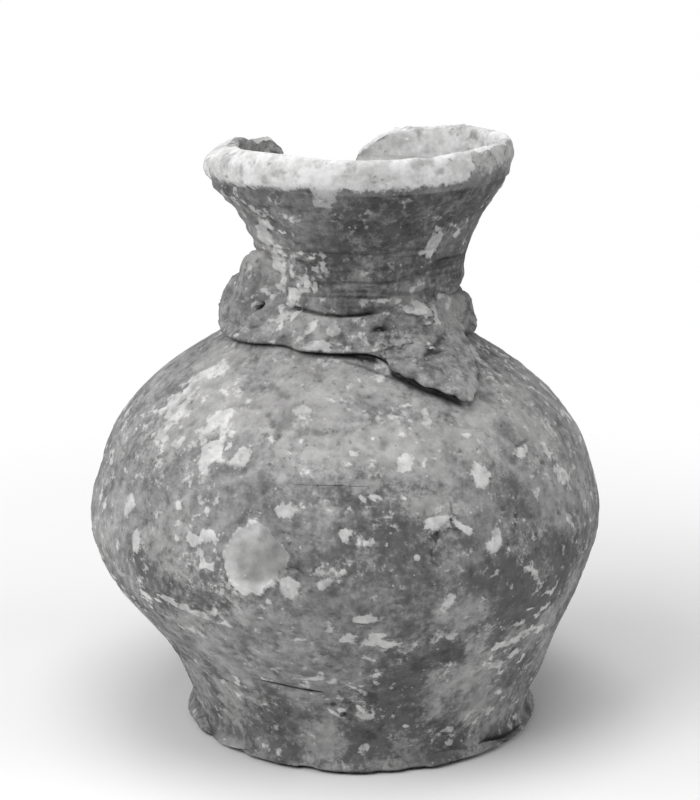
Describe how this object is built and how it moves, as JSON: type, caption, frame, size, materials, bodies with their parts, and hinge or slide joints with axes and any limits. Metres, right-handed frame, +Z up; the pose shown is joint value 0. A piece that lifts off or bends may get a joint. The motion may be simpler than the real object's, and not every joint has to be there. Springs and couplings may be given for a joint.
{
  "type": "jar",
  "caption": "Hand-made clay jar with a round belly, spreading foot, ringed flaring neck with a pressed band, knot and tail, and a thick pale rim broken open at the back.",
  "frame": {"origin": "centre of the base slab's flat underside, on the surface that the jar stands on", "axes": "+Z up through the mouth, -Y to the front with the clay tail, +Y to the broken back of the mouth, +X to the right seen from the front"},
  "size_m": [0.1738, 0.1738, 0.2],
  "materials": {
    "body_clay": "matt fired clay, worn, with pale crust patches and pits",
    "neck_clay": "dark matt fired clay with throwing rings",
    "pale_coat": "chalky pale coat over fired clay, chipped",
    "pressed_clay": "matt fired clay pressed on by hand, with finger marks",
    "inner_clay": "rough unsmoothed fired clay"
  },
  "bodies": {
    "root": {"base_slab": "body_clay", "foot_wall": "body_clay", "lower_body": "body_clay", "upper_body": "body_clay", "neck": "neck_clay", "rim": "pale_coat", "neck_band": "pressed_clay", "knot_inner_lobe": "pressed_clay", "knot_outer_lobe": "pressed_clay", "rear_pad": "pressed_clay", "neck_tail": "pressed_clay", "base_joint_strip": "inner_clay", "belly_joint_strip": "inner_clay", "neck_joint_strip": "inner_clay"}
  },
  "joints": []
}
